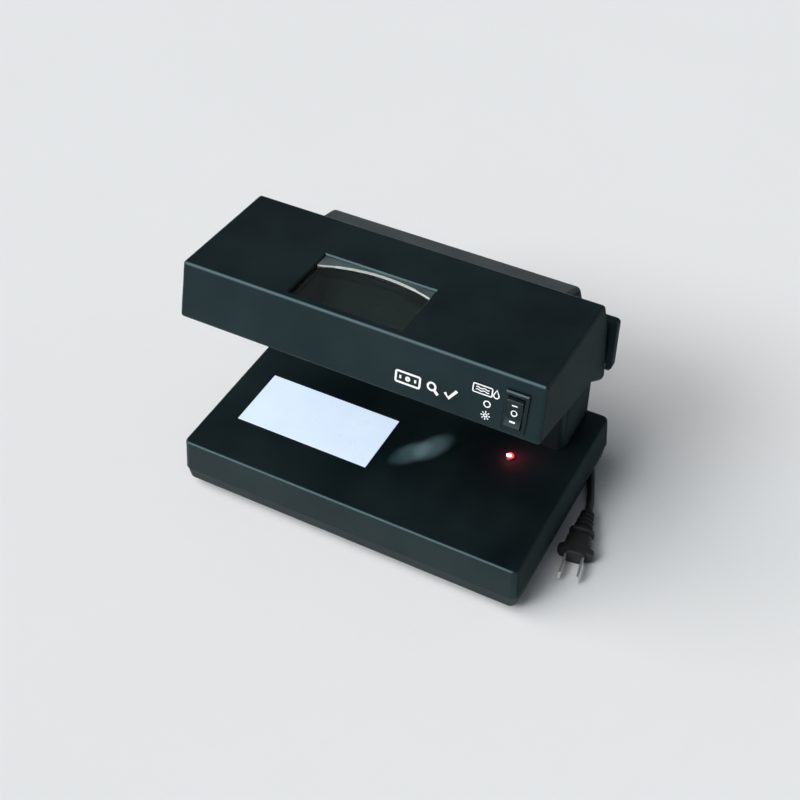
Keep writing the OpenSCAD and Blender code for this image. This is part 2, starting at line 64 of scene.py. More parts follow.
LENS_FRAME = Matrix.Translation(LENS_AT) @ Matrix.Rotation(-TOP_TILT, 4, "X")
FRONT_FRAME = (Matrix.Translation(SWITCH_AT)
               @ Matrix.Rotation(math.pi / 2 - FRONT_LEAN, 4, "X"))
PLUG_FRAME = Matrix.Translation(PLUG_AT) @ Matrix.Rotation(PLUG_TURN, 4, "Z")


# ---------------------------------------------------------------- camera

def add_camera():
    """Long lens from the front right, looking down at 44 degrees."""
    data = bpy.data.cameras.new("camera")
    data.lens = 60.70
    data.sensor_width = 36
    camera = bpy.data.objects.new("camera", data)
    camera.location = (0.32321, -0.61713, 0.74959)
    camera.rotation_euler = (math.radians(45.899), 0, math.radians(27.713))
    bpy.context.scene.collection.objects.link(camera)
    bpy.context.scene.camera = camera


# ---------------------------------------------------------------- mesh tools

def add_object(name, data, body="housing"):
    """New object in the scene, which rides on a body unless body is None."""
    obj = bpy.data.objects.new(name, data)
    bpy.context.scene.collection.objects.link(obj)
    if body:
        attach(obj, body)
    return obj


def add_mesh(name, verts, faces, place=Matrix.Identity(4), body="housing"):
    """Mesh object from points and faces, moved by place, smooth shaded."""
    mesh = bpy.data.meshes.new(name)
    mesh.from_pydata([place @ Vector(v) for v in verts], [], faces)
    mesh.validate()
    mesh.polygons.foreach_set("use_smooth", [True] * len(mesh.polygons))
    return add_object(name, mesh, body)


def finish_piece(obj, slot, look=None):
    """Give a new piece its material, which is the slot's own unless look names another."""
    obj.data.materials.append(LOOKS[look or slot])


def superellipse(half_x, half_z, power, count=32):
    """Closed section between an ellipse (power 2) and a rectangle."""
    points = []
    for k in range(count):
        c = math.cos(2 * math.pi * k / count)
        s = math.sin(2 * math.pi * k / count)
        points.append((math.copysign(half_x * abs(c) ** (2 / power), c),
                       math.copysign(half_z * abs(s) ** (2 / power), s)))
    return points


def loft(sections, count=32):
    """Closed body through (y, half x, half z, power) sections along y."""
    verts = [(x, y, z) for y, half_x, half_z, power in sections
             for x, z in superellipse(half_x, half_z, power, count)]
    faces = [tuple(range(count))]
    for i in range(len(sections) - 1):
        for k in range(count):
            a, b = i * count + k, i * count + (k + 1) % count
            faces.append((a, a + count, b + count, b))
    last = (len(sections) - 1) * count
    faces.append(tuple(last + k for k in reversed(range(count))))
    return verts, faces


# ---------------------------------------------------------------- cord

CORD_R = 0.003
COIL_AT = Vector((-0.033, 0.161, 0.0))
COIL_OUTER = 0.044
COIL_INNER = 0.026
TURNS_DOWN_AT = 3            # turns wound inwards before the coil steps down
STEP_DOWN = 1 / 3            # turns taken by that step
TURNS = 5.75                 # turns in all, inwards and outwards
POINTS_PER_TURN = 30
LAND_OVER = 1 / 9            # part of a turn in which the lead-in comes down on the coil
LAND_FROM = 0.0016           # how far above the coil's upper layer it starts

LEAD_IN = [(0.011, 0.1117, 0.028), (0.011, 0.118, 0.0276), (0.011, 0.125, 0.0259),
           (0.011, 0.132, 0.0229), (0.011, 0.139, 0.0193), (0.011, 0.146, 0.0158),
           (0.011, 0.153, 0.0129)]
LEAD_OUT = [(-0.020, 0.1202, 0.003), (-0.006, 0.1200, 0.003), (0.008, 0.1199, 0.003),
            (0.024, 0.1198, 0.003), (0.040, 0.1196, 0.003), (0.056, 0.1191, 0.003),
            (0.072, 0.1174, 0.003), (0.086, 0.1138, 0.003), (0.098, 0.1080, 0.003),
            (0.1076, 0.1000, 0.003), (0.1150, 0.0900, 0.003), (0.1210, 0.0790, 0.003),
            (0.1262, 0.0680, 0.003), (0.1307, 0.0574, 0.003), (0.1347, 0.0470, 0.003),
            (0.1380, 0.0380, 0.0032), (0.1408, 0.0296, 0.0046), (0.1421, 0.0248, 0.0061),
            (0.1431, 0.0201, 0.0070)]


def ease(u):
    """From 0 to 1, level at both ends."""
    return u * u * (3 - 2 * u)


def coil_route():
    """Inwards on the upper layer, one step down, outwards on the lower one."""
    points = []
    pitch = 2 * CORD_R
    for i in range(int(TURNS * POINTS_PER_TURN) + 1):
        turn = i / POINTS_PER_TURN
        past = turn - TURNS_DOWN_AT
        if past < 0:
            radius = COIL_OUTER - pitch * turn
            height = 3 * CORD_R
            if turn < LAND_OVER:
                height += LAND_FROM * (1 - turn / LAND_OVER) ** 2
        elif past < STEP_DOWN:
            u = past / STEP_DOWN
            radius = COIL_INNER - pitch * STEP_DOWN * (u - u * u)
            height = 3 * CORD_R - pitch * ease(u)
        else:
            radius = COIL_INNER + pitch * (past - STEP_DOWN)
            height = CORD_R
        angle = 2 * math.pi * turn
        points.append(COIL_AT + Vector((radius * math.cos(angle),
                                        radius * math.sin(angle), height)))
    return points


def smooth_route(points, spacing=0.003):
    """Points of a Catmull-Rom curve through the route, closely spaced."""
    out = []
    for i in range(len(points) - 1):
        before = points[max(i - 1, 0)]
        a, b = points[i], points[i + 1]
        after = points[min(i + 2, len(points) - 1)]
        steps = max(1, round((b - a).length / spacing))
        for k in range(steps):
            t = k / steps
            out.append(0.5 * (2 * a + (b - before) * t
                              + (2 * before - 5 * a + 4 * b - after) * t ** 2
                              + (3 * a - before - 3 * b + after) * t ** 3))
    out.append(points[-1])
    return out


def tube(route, radius, sides=12):
    """Round tube along a route, its rings turning as little as they can."""
    verts, faces = [], []
    last = len(route) - 1
    side = Vector((1, 0, 0))
    for i, point in enumerate(route):
        heading = (route[min(i + 1, last)] - route[max(i - 1, 0)]).normalized()
        side = (side - heading * side.dot(heading)).normalized()
        across = heading.cross(side)
        for k in range(sides):
            angle = 2 * math.pi * k / sides
            verts.append(point + radius * (math.cos(angle) * side + math.sin(angle) * across))
        if i < last:
            for k in range(sides):
                a, b = i * sides + k, i * sides + (k + 1) % sides
                faces.append((a, b, b + sides, a + sides))
    faces.append(tuple(reversed(range(sides))))
    faces.append(tuple(last * sides + k for k in range(sides)))
    return verts, faces


def add_cord():
    """The whole mains cord as one tube, and the points that it follows."""
    route = smooth_route([Vector(p) for p in LEAD_IN] + coil_route()
                         + [Vector(p) for p in LEAD_OUT])
    cord = add_mesh("mains_cord", *tube(route, CORD_R))
    finish_piece(cord, "cord_rubber")
    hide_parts("cord_to_coil", "cord_coil", "cord_to_plug")
    return cord, route


def add_coil_tie():
    """Flat strap with rounded corners, closed round the coil's turns."""
    low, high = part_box("coil_tie")
    centre = [(a + b) / 2 for a, b in zip(low, high)]
    slack = (0.0002, 0.0004, 0.0001)         # stays this far inside the CAD strap
    half_x, half_y, half_z = [(b - a) / 2 - gap for a, b, gap in zip(low, high, slack)]
    thick = 0.0014
    corner_power = 7
    count = 48
    outer = superellipse(half_x, half_z, corner_power, count)
    inner = superellipse(half_x - thick, half_z - thick, corner_power, count)
    verts = []
    for side, ring in ((-1, outer), (1, outer), (1, inner), (-1, inner)):
        verts += [(x, side * half_y, z) for x, z in ring]
    faces = []
    for lane in range(4):
        for k in range(count):
            nxt = (k + 1) % count
            a, b = lane * count, (lane + 1) % 4 * count
            faces.append((a + k, b + k, b + nxt, a + nxt))
    tie = add_mesh("tie_strap", verts, faces, Matrix.Translation(centre))
    soften(tie, 0.0004)
    finish_piece(tie, "tie_black")
    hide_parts("coil_tie")
    return tie


def plug_sections():
    """(along, half width, half height, power) from the cord to the nose, in mm."""
    sections = [(0.0, 3.4, 3.4, 2)]
    for i in range(4):
        y = 0.6 + 4 * i
        crest = 5.2 + 0.5 * i
        root = 3.6 + 0.42 * i
        sections += [(y, root, root, 2), (y + 0.4, crest, crest, 2),
                     (y + 1.9, crest, crest, 2), (y + 2.3, root, root, 2)]
    flange = [(16.8, 5.4, 5.2, 2.2), (17.8, 5.7, 5.3, 2.4), (18.6, 8.3, 6.3, 2.6),
              (19.1, 9.1, 6.8, 2.8), (21.0, 9.1, 6.8, 2.8), (21.6, 8.4, 6.3, 2.8)]
    body = [(22.1, 6.8, 5.2, 2.8), (23.4, 6.9, 5.3, 2.8), (24.6, 8.2, 6.2, 2.8),
            (27.0, 9.2, 6.6, 3), (31.0, 9.6, 6.7, 3), (34.4, 9.9, 6.6, 3)]
    wings = [(35.8, 11.4, 6.2, 3.2), (36.8, 13.1, 6.0, 3.6), (39.8, 13.2, 5.9, 4),
             (40.9, 12.3, 5.8, 4), (41.3, 10.9, 5.6, 4)]
    nose = [(41.4, 7.6, 6.2, 4.4), (43.4, 7.2, 6.0, 4.4), (44.1, 6.4, 5.4, 4)]
    return sections + flange + body + wings + nose


def add_plug():
    """Moulded two-pin plug: ribbed relief, finger flange and winged body."""
    verts, faces = loft([(y * MM, x * MM, z * MM, power) for y, x, z, power in plug_sections()])
    plug = add_mesh("plug_moulding", verts, faces, PLUG_FRAME)
    soften(plug, 0.0002, segments=1)
    finish_piece(plug, "cord_rubber")
    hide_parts("plug_body")
    return plug


# ---------------------------------------------------------------- surfaces

class Look:
    """A Principled material, NAME_look, with procedural detail added step by step."""

    def __init__(self, name, colour, rough, metallic=0.0):
        self.name = name
        self.material = bpy.data.materials.new(name + "_look")
        self.material.use_nodes = True
        self.nodes = self.material.node_tree.nodes
        self.links = self.material.node_tree.links
        self.shader = self.nodes["Principled BSDF"]
        self.shader.inputs["Base Color"].default_value = (*colour, 1)
        self.shader.inputs["Roughness"].default_value = rough
        self.shader.inputs["Metallic"].default_value = metallic
        self.place = self.nodes.new("ShaderNodeTexCoord").outputs["Object"]
        self.height = None

    def set(self, socket, value):
        """Set one of the shader's own sockets."""
        self.shader.inputs[socket].default_value = value
        return self

    def noise(self, scale, detail, stretch=(1, 1, 1)):
        """Cloudy pattern in the object's own metres, so it keeps its real scale."""
        spread = self.nodes.new("ShaderNodeMapping")
        spread.inputs["Scale"].default_value = stretch
        self.links.new(self.place, spread.inputs["Vector"])
        noise = self.nodes.new("ShaderNodeTexNoise")
        noise.inputs["Scale"].default_value = scale
        noise.inputs["Detail"].default_value = detail
        self.links.new(spread.outputs["Vector"], noise.inputs["Vector"])
        return noise.outputs["Fac"]

    def ramp(self, source, low, high):
        """Colour from low to high over the middle of the source's range."""
        ramp = self.nodes.new("ShaderNodeValToRGB")
        first, second = ramp.color_ramp.elements
        first.position, second.position = 0.35, 0.65
        first.color, second.color = (*low, 1), (*high, 1)
        self.links.new(source, ramp.inputs["Fac"])
        return ramp.outputs["Color"]

    def span(self, source, low, high, start=0.3, end=0.7):
        """Value from low to high as the source goes from start to end."""
        span = self.nodes.new("ShaderNodeMapRange")
        span.inputs["From Min"].default_value = start
        span.inputs["From Max"].default_value = end
        span.inputs["To Min"].default_value = low
        span.inputs["To Max"].default_value = high
        self.links.new(source, span.inputs["Value"])
        return span.outputs["Result"]

    def tint(self, low, high, scale=18):
        """Colour that drifts between two near shades."""
        drift = self.ramp(self.noise(scale, 4), low, high)
        self.links.new(drift, self.shader.inputs["Base Color"])
        self.colour = drift
        return self

    def painted_edge_highlight(self, colour, facing):
        """Painted highlight: paler colour on the rounded edges that face a direction, standing
        in for the light that those edges catch.
        """
        none, full = 0.88, 0.97          # cosines of 28 and 14 degrees off that direction
        turn = self.nodes.new("ShaderNodeVectorMath")
        turn.operation = "DOT_PRODUCT"
        normal = self.nodes.new("ShaderNodeTexCoord").outputs["Normal"]
        self.links.new(normal, turn.inputs[0])
        turn.inputs[1].default_value = Vector(facing).normalized()
        mix = self.nodes.new("ShaderNodeMixRGB")
        highlight_share = self.span(turn.outputs["Value"], 0, 1, none, full)
        self.links.new(highlight_share, mix.inputs["Fac"])
        self.links.new(self.colour, mix.inputs["Color1"])
        mix.inputs["Color2"].default_value = (*colour, 1)
        self.links.new(mix.outputs["Color"], self.shader.inputs["Base Color"])
        return self

    def gloss(self, low, high, scale=45, stretch=(1, 1, 1)):
        """Roughness that varies with handling."""
        self.roughness = self.span(self.noise(scale, 4, stretch), low, high)
        self.links.new(self.roughness, self.shader.inputs["Roughness"])
        return self

    def matte_ends(self, rough):
        """Coarser spark-eroded texture on the faces that look left and right."""
        none, full = 0.5, 0.9            # cosines of 60 and 26 degrees off the x axis
        axes = self.nodes.new("ShaderNodeSeparateXYZ")
        normal = self.nodes.new("ShaderNodeTexCoord").outputs["Normal"]
        self.links.new(normal, axes.inputs["Vector"])
        sideways = self.nodes.new("ShaderNodeMath")
        sideways.operation = "ABSOLUTE"
        self.links.new(axes.outputs["X"], sideways.inputs[0])
        pick = self.nodes.new("ShaderNodeMath")
        pick.operation = "MAXIMUM"
        ends = self.span(sideways.outputs["Value"], 0, rough, none, full)
        self.links.new(ends, pick.inputs[0])
        self.links.new(self.roughness, pick.inputs[1])
        self.links.new(pick.outputs["Value"], self.shader.inputs["Roughness"])
        return self

    def grain(self, scale, depth, strength, stretch=(1, 1, 1)):
        """Bump of the moulded or drawn surface; calls stack."""
        bump = self.nodes.new("ShaderNodeBump")
        bump.inputs["Strength"].default_value = strength
        bump.inputs["Distance"].default_value = depth
        self.links.new(self.noise(scale, 2, stretch), bump.inputs["Height"])
        if self.height is not None:
            self.links.new(self.height, bump.inputs["Normal"])
        self.height = bump.outputs["Normal"]
        self.links.new(self.height, self.shader.inputs["Normal"])
        return self

    def glow(self, colour, strength):
        """Light that the surface gives off."""
        self.shader.inputs["Emission Color"].default_value = (*colour, 1)
        self.shader.inputs["Emission Strength"].default_value = strength
        return self


SHEEN = (0.50, 0.88, 1.0, 1)         # cold tint of the black plastic's highlights
# edges facing this way get the painted highlight
FRONT_EDGE = (0, -0.72, 0.70)        # the way that the front top edges face


def plastic(name, dark, light, rough, depth=0.00004):
    """Moulded plastic between two shades, rough a pair, depth that of its fine texture."""
    return (Look(name, dark, rough[0])
            .tint(dark, light)
            .gloss(*rough)
            .grain(1600, depth, 0.4)
            .grain(420, 0.00001, 0.1)
            .set("Specular Tint", SHEEN)
            .set("Specular IOR Level", 0.42))


def plastic_looks():
    """Shells, trim, rubber and the small moulded pieces."""
    return [
        plastic("shell_black", (0.0012, 0.0034, 0.0040), (0.0066, 0.0112, 0.0122), (0.37, 0.45))
        # painted highlight: paler blue-grey along the front top edges of the shells
        .painted_edge_highlight((0.046, 0.064, 0.068), FRONT_EDGE)
        .matte_ends(0.85),
        plastic("panel_black", (0.0028, 0.0048, 0.0054), (0.0044, 0.0066, 0.0074), (0.44, 0.52),
                depth=0.00006),
        plastic("trim_black", (0.0035, 0.0040, 0.0044), (0.0052, 0.0058, 0.0062), (0.26, 0.32),
                depth=0.000004)
        # painted highlight: paler grey along the front top edges of the trim
        .painted_edge_highlight((0.060, 0.078, 0.082), FRONT_EDGE),
        plastic("foot_rubber", (0.010, 0.010, 0.010), (0.018, 0.018, 0.018), (0.7, 0.85),
                depth=0.00008),
        plastic("cord_rubber", (0.0190, 0.0170, 0.0155), (0.0270, 0.0245, 0.0225), (0.42, 0.52),
                depth=0.00003),
        plastic("tie_black", (0.012, 0.012, 0.013), (0.022, 0.022, 0.023), (0.5, 0.65),
                depth=0.00008),
        plastic("buzzer_black", (0.008, 0.008, 0.009), (0.012, 0.012, 0.013), (0.3, 0.4),
                depth=0.00001),
        plastic("holder_ivory", (0.66, 0.62, 0.50), (0.76, 0.72, 0.60), (0.35, 0.5),
                depth=0.00002),
        plastic("harness_grey", (0.06, 0.06, 0.065), (0.10, 0.10, 0.105), (0.4, 0.55),
                depth=0.00002),
        plastic("capacitor_blue", (0.012, 0.02, 0.09), (0.02, 0.035, 0.13), (0.25, 0.4),
                depth=0.00001),
    ]


def metal_looks():
    """Screws, plug blades, pickup, lamp caps, terminals and the choke's core."""
    return [
        Look("screw_steel", (0.55, 0.56, 0.58), 0.3, 1.0)
        .tint((0.48, 0.49, 0.51), (0.66, 0.67, 0.69), 220)
        .gloss(0.22, 0.42, 600)
        .grain(2600, 0.00002, 0.3),
        Look("blade_nickel", (0.90, 0.89, 0.86), 0.34, 1.0)
        .tint((0.84, 0.83, 0.80), (0.95, 0.94, 0.91), 160)
        .gloss(0.30, 0.44, 500, (1, 0.15, 1))
        .grain(1800, 0.00001, 0.25, (1, 0.1, 1)),
        Look("pickup_chrome", (0.6, 0.6, 0.62), 0.18, 1.0)
        .tint((0.55, 0.55, 0.57), (0.7, 0.7, 0.72), 200)
        .gloss(0.12, 0.25, 500)
        .grain(2200, 0.00001, 0.2),
        Look("lamp_cap", (0.7, 0.7, 0.7), 0.32, 1.0)
        .tint((0.62, 0.62, 0.61), (0.76, 0.76, 0.75), 150)
        .gloss(0.26, 0.42, 420)
        .grain(1500, 0.00002, 0.3),
        Look("terminal_brass", (0.78, 0.58, 0.26), 0.3, 1.0)
        .tint((0.70, 0.51, 0.22), (0.84, 0.65, 0.32), 260)
        .gloss(0.22, 0.42, 500)
        .grain(2400, 0.00001, 0.25),
        Look("choke_iron", (0.12, 0.10, 0.08), 0.5, 0.6)
        .tint((0.09, 0.075, 0.06), (0.17, 0.14, 0.11), 300)
        .gloss(0.4, 0.6)
        .grain(1400, 0.0001, 0.6, (0.05, 0.05, 1)),
    ]


def sheet_looks():
    """Circuit board and the white reflector sheets."""
    return [
        Look("circuit_green", (0.01, 0.08, 0.03), 0.3)
        .tint((0.008, 0.06, 0.022), (0.014, 0.11, 0.045), 320)
        .gloss(0.25, 0.4)
        .grain(1800, 0.00003, 0.3),
        Look("white_sheet", (0.8, 0.81, 0.82), 0.4)
        .tint((0.74, 0.75, 0.76), (0.85, 0.86, 0.87), 40)
        .gloss(0.32, 0.46)
        .grain(900, 0.00004, 0.3),
    ]


def lamp_looks():
    """Lit window, tubes, the indicator with its bright die, and the magnifier."""
    return [
        Look("opal_acrylic", (0.22, 0.24, 0.26), 0.28)
        .tint((0.20, 0.22, 0.24), (0.24, 0.26, 0.28), 30)
        .gloss(0.24, 0.34)
        .grain(700, 0.00002, 0.2)
        .glow((0.68, 0.82, 1.0), 0.82),
        Look("white_lamp_glass", (0.9, 0.93, 0.96), 0.2)
        .tint((0.86, 0.9, 0.94), (0.94, 0.96, 0.98), 60)
        .gloss(0.15, 0.25)
        .grain(900, 0.00001, 0.2)
        .glow((0.8, 0.9, 1.0), 2.0),
        Look("uv_lamp_glass", (0.05, 0.04, 0.16), 0.12)
        .tint((0.035, 0.028, 0.12), (0.07, 0.055, 0.2), 50)
        .gloss(0.08, 0.18)
        .grain(800, 0.00001, 0.2)
        .set("Coat Weight", 0.6),
        Look("led_red", (0.75, 0.02, 0.015), 0.15)
        .tint((0.65, 0.015, 0.01), (0.85, 0.03, 0.02), 400)
        .gloss(0.1, 0.2)
        .grain(900, 0.00001, 0.15)
        .set("Transmission Weight", 0.85)
        .glow((1.0, 0.10, 0.12), 0.9),
        Look("lens_clear", (0.50, 0.56, 0.47), 0.03)
        .tint((0.48, 0.55, 0.45), (0.53, 0.58, 0.50), 25)
        .gloss(0.02, 0.05, 60)
        .grain(60, 0.000002, 0.05)
        .set("IOR", 1.52)
        .set("Transmission Weight", 1.0),
    ]


def extra_looks():
    """Finishes that no record slot names on its own."""
    return [
        Look("ground_glass", (0.75, 0.80, 0.76), 0.5)
        .tint((0.68, 0.74, 0.70), (0.82, 0.86, 0.82), 300)
        .gloss(0.42, 0.6)
        .grain(2200, 0.00003, 0.4)
        .set("Transmission Weight", 0.35),
        Look("frosted_glass", (0.09, 0.125, 0.13), 0.4)
        .tint((0.06, 0.09, 0.095), (0.12, 0.16, 0.165), 60)
        .gloss(0.35, 0.5)
        .grain(2200, 0.00002, 0.3)
        .set("Transmission Weight", 0.3),
        Look("white_ink", (0.93, 0.94, 0.96), 0.5)
        .tint((0.88, 0.89, 0.91), (0.96, 0.97, 0.99), 900)
        .gloss(0.45, 0.6)
        .grain(3000, 0.00001, 0.3),
        Look("led_core", (1.0, 0.6, 0.5), 0.3)
        .tint((1.0, 0.55, 0.45), (1.0, 0.7, 0.6), 800)
        .gloss(0.2, 0.3)
        .grain(1500, 0.00001, 0.1)
        .glow((1.0, 0.72, 0.70), 16.0),
        Look("table", (0.84, 0.84, 0.85), 0.9)
        .tint((0.835, 0.835, 0.84), (0.845, 0.845, 0.85), 3)
        .gloss(0.88, 0.94, 12)
        .set("Specular IOR Level", 0.2),
    ]


# ---------------------------------------------------------------- CAD nodes

def soften(obj, width, segments=2):
    """Small rounded edges with clean shading, as a moulding has."""
    weld = obj.modifiers.new("weld", "WELD")
    weld.merge_threshold = 0.00001
    flat = obj.modifiers.new("flat", "DECIMATE")
    flat.decimate_type = "DISSOLVE"
    flat.angle_limit = math.radians(0.4)
    bevel = obj.modifiers.new("edges", "BEVEL")
    bevel.width = width
    bevel.segments = segments
    bevel.limit_method = "ANGLE"
    bevel.angle_limit = math.radians(32)
    shade = obj.modifiers.new("shade", "WEIGHTED_NORMAL")
    shade.keep_sharp = True
    shade.weight = 80


EDGE_WIDTH = {
    "base_shell": 0.0004, "base_tray": 0.0004, "column_shell": 0.0005, "head_shell": 0.0008,
    "column_cover": 0.0003, "head_underside": 0.0003, "lens_shroud": 0.0002,
    "sensor_housing": 0.0004, "switch_housing": 0.00025, "switch_rocker": 0.0004,
    "rubber_feet": 0.0004, "strain_relief": 0.0002, "plug_blades": 0.0002,
    "window_reflector": 0.0002, "uv_reflector": 0.0002, "watermark_window": 0.0003,
    "led_collar": 0.00015, "pickup_head": 0.0003, "ballast_choke": 0.0003,
    "white_lamp_holders": 0.0003, "uv_lamp_holders": 0.0003,
}
OTHER_EDGE_WIDTH = 0.0001


def dress_nodes():
    """Give every CAD node its finish and its small edge rounding."""
    for name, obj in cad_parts.items():
        for holder in obj.material_slots:
            slot = holder.material.name.split(".")[0]
            holder.material = LOOKS[slot]
        mesh = obj.data
        for attribute in ("custom_normal", "sharp_edge", "sharp_face"):
            if attribute in mesh.attributes:
                mesh.attributes.remove(mesh.attributes[attribute])
        mesh.polygons.foreach_set("use_smooth", [True] * len(mesh.polygons))
        soften(obj, EDGE_WIDTH.get(name, OTHER_EDGE_WIDTH))


# ---------------------------------------------------------------- lens

LENS_COLUMNS = 56
DOME_ROWS = 30
STRIP_ROWS = 4
CLEAR, GROUND, FROSTED, WALL = range(4)


def lens_point(column, row):
    """Point of the lens's upper face: the dome's rows from the front, then the strip's."""
    arc_r, arc_x, arc_y = 0.142, 0.0065, -0.1217         # the ground arc behind the dome
    half_x, half_y = LENS_HALF
    x = half_x * (2 * column / LENS_COLUMNS - 1)
    edge = arc_y + math.sqrt(arc_r ** 2 - (x - arc_x) ** 2)
    width = 0.0006 + 0.0015 * (1 - (x / half_x) ** 2)
    if row <= DOME_ROWS:
        y = -half_y + (edge + half_y) * row / DOME_ROWS
    else:
        y = edge + width + (half_y - edge - width) * (row - DOME_ROWS - 1) / STRIP_ROWS
    sag = math.sqrt(LENS_DOME_R ** 2 - x * x - y * y) - LENS_DOME_R
    if row > DOME_ROWS:
        sag = 0.25 * sag + 0.0002        # the strip is flatter than the dome
    return (x, y, LENS_APEX + sag)


def add_lens():
    """Rectangular magnifier: a low dome, and behind a ground arc a frosted strip."""
    rows = DOME_ROWS + STRIP_ROWS + 1
    in_row = LENS_COLUMNS + 1
    verts = [lens_point(i, j) for j in range(rows + 1) for i in range(in_row)]
    faces, kinds = [], []
    for j in range(rows):
        kind = CLEAR if j < DOME_ROWS else GROUND if j == DOME_ROWS else FROSTED
        for i in range(LENS_COLUMNS):
            a = j * in_row + i
            faces.append((a, a + 1, a + in_row + 1, a + in_row))
            kinds.append(kind)
    rim = ([i for i in range(LENS_COLUMNS)]
           + [LENS_COLUMNS + in_row * j for j in range(rows)]
           + [rows * in_row + LENS_COLUMNS - i for i in range(LENS_COLUMNS)]
           + [in_row * (rows - j) for j in range(rows)])
    base = len(verts)
    verts += [(verts[k][0], verts[k][1], LENS_BASE) for k in rim]
    count = len(rim)
    for k in range(count):
        nxt = (k + 1) % count
        faces.append((rim[k], base + k, base + nxt, rim[nxt]))
    faces.append(tuple(base + k for k in reversed(range(count))))
    kinds += [WALL] * count + [CLEAR]
    lens = add_mesh("lens_glass", verts, faces, LENS_FRAME)
    finish_piece(lens, "lens_clear")
    for look in ("ground_glass", "frosted_glass", "trim_black"):
        lens.data.materials.append(LOOKS[look])
    lens.data.polygons.foreach_set("material_index", kinds)
    bevel = lens.modifiers.new("ground_edge", "BEVEL")
    bevel.width = 0.0003
    bevel.segments = 2
    bevel.limit_method = "ANGLE"
    bevel.angle_limit = math.radians(40)
    bevel.material = FROSTED
    shade = lens.modifiers.new("shade", "WEIGHTED_NORMAL")
    shade.weight = 80
    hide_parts("magnifier_lens")


# ---------------------------------------------------------------- indicator

def add_led_core():
    """Bright die seen in the red dome, wider than it is deep."""
    low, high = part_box("indicator_led")
    left, forward, below_top = 0.0008, 0.0006, 0.0025
    centre = Vector(((low[0] + high[0]) / 2 - left, (low[1] + high[1]) / 2 - forward,
                     high[2] - below_top))
    widen = 1.7
    profile = [(0.7, 0.1), (1.1, 0.6), (1.1, 1.3), (0.75, 1.9), (0.25, 2.15)]    # (r, z), mm
    count = 20
    verts = [(0, 0, 0)]
    for r, z in profile:
        verts += [(widen * r * MM * math.cos(2 * math.pi * k / count),
                   r * MM * math.sin(2 * math.pi * k / count), z * MM) for k in range(count)]
    faces = [(0, 1 + (k + 1) % count, 1 + k) for k in range(count)]
    for lane in range(len(profile) - 1):
        for k in range(count):
            a, b = 1 + lane * count, 1 + (lane + 1) * count
            nxt = (k + 1) % count
            faces.append((a + k, a + nxt, b + nxt, b + k))
    top = 1 + (len(profile) - 1) * count
    faces.append(tuple(top + k for k in range(count)))
    core = add_mesh("led_core", verts, faces, Matrix.Translation(centre))
    finish_piece(core, "led_red", "led_core")


# ---------------------------------------------------------------- printed marks

def stroke(path, width, closed, height=0.00006):
    """Ribbon of ink along a path on the local xy plane, as high as a printed layer."""
    count = len(path)
    verts, faces = [], []
    for i, (x, y) in enumerate(path):
        if closed:
            x0, y0 = path[i - 1]
            x1, y1 = path[(i + 1) % count]
        else:
            x0, y0 = path[max(i - 1, 0)]
            x1, y1 = path[min(i + 1, count - 1)]
        long = math.hypot(x1 - x0, y1 - y0)
        nx, ny = -(y1 - y0) / long * width / 2, (x1 - x0) / long * width / 2
        verts += [(x + nx, y + ny, 0), (x - nx, y - ny, 0),
                  (x + nx, y + ny, height), (x - nx, y - ny, height)]
    for i in range(count if closed else count - 1):
        a, b = 4 * i, 4 * ((i + 1) % count)
        faces += [(a + 2, a + 3, b + 3, b + 2), (a, a + 2, b + 2, b),
                  (a + 3, a + 1, b + 1, b + 3), (a, b, b + 1, a + 1)]
    if not closed:
        last = 4 * (count - 1)
        faces += [(0, 1, 3, 2), (last, last + 2, last + 3, last + 1)]
    return verts, faces


def arc(cx, cy, r, start=0.0, end=360.0, count=28):
    """Points of an arc, or of a whole circle without its last point again."""
    return [(cx + r * math.cos(math.radians(start + (end - start) * k / count)),
             cy + r * math.sin(math.radians(start + (end - start) * k / count)))
            for k in range(count + (abs(end - start) < 360))]


def box_path(cx, cy, w, h, r):
    """Closed path of a rectangle with round corners."""
    points = []
    for corner, (sx, sy) in enumerate(((1, 1), (-1, 1), (-1, -1), (1, -1))):
        points += arc(cx + sx * (w / 2 - r), cy + sy * (h / 2 - r), r,
                      90 * corner, 90 * corner + 90, 5)
    return points


def add_marks(name, strokes, place, slot, body="housing"):
    """One piece made of ink strokes, (path, width, closed), in millimetres."""
    verts, faces = [], []
    for path, width, closed in strokes:
        part, rings = stroke([(x * MM, y * MM) for x, y in path], width * MM, closed)
        faces += [tuple(len(verts) + k for k in ring) for ring in rings]
        verts += part
    marks = add_mesh(name, verts, faces, place, body)
    marks.data.polygons.foreach_set("use_smooth", [False] * len(marks.data.polygons))
    finish_piece(marks, slot, "white_ink")
    return marks


def checking_row():
    """A banknote, a magnifier and a tick, left to right."""
    line = 1.45
    y = -4.2
    note_x, glass_x, tick_x = -74.0, -56.4, -44.0
    return [
        (box_path(note_x, y, 17, 8.0, 1.0), line, True),
        (arc(note_x, y, 1.1), line, True),
        ([(note_x - 5.3, y - 1.2), (note_x - 5.3, y + 1.2)], line, False),
        ([(note_x + 5.3, y - 1.2), (note_x + 5.3, y + 1.2)], line, False),
        (arc(glass_x - 0.8, y + 0.9, 2.7), line, True),
        ([(glass_x + 1.2, y - 1.1), (glass_x + 4.0, y - 3.9)], line + 0.6, False),
        ([(tick_x - 3.8, y + 0.2), (tick_x - 1.0, y - 3.2), (tick_x + 4.2, y + 3.8)],
         line + 0.5, False),
    ]


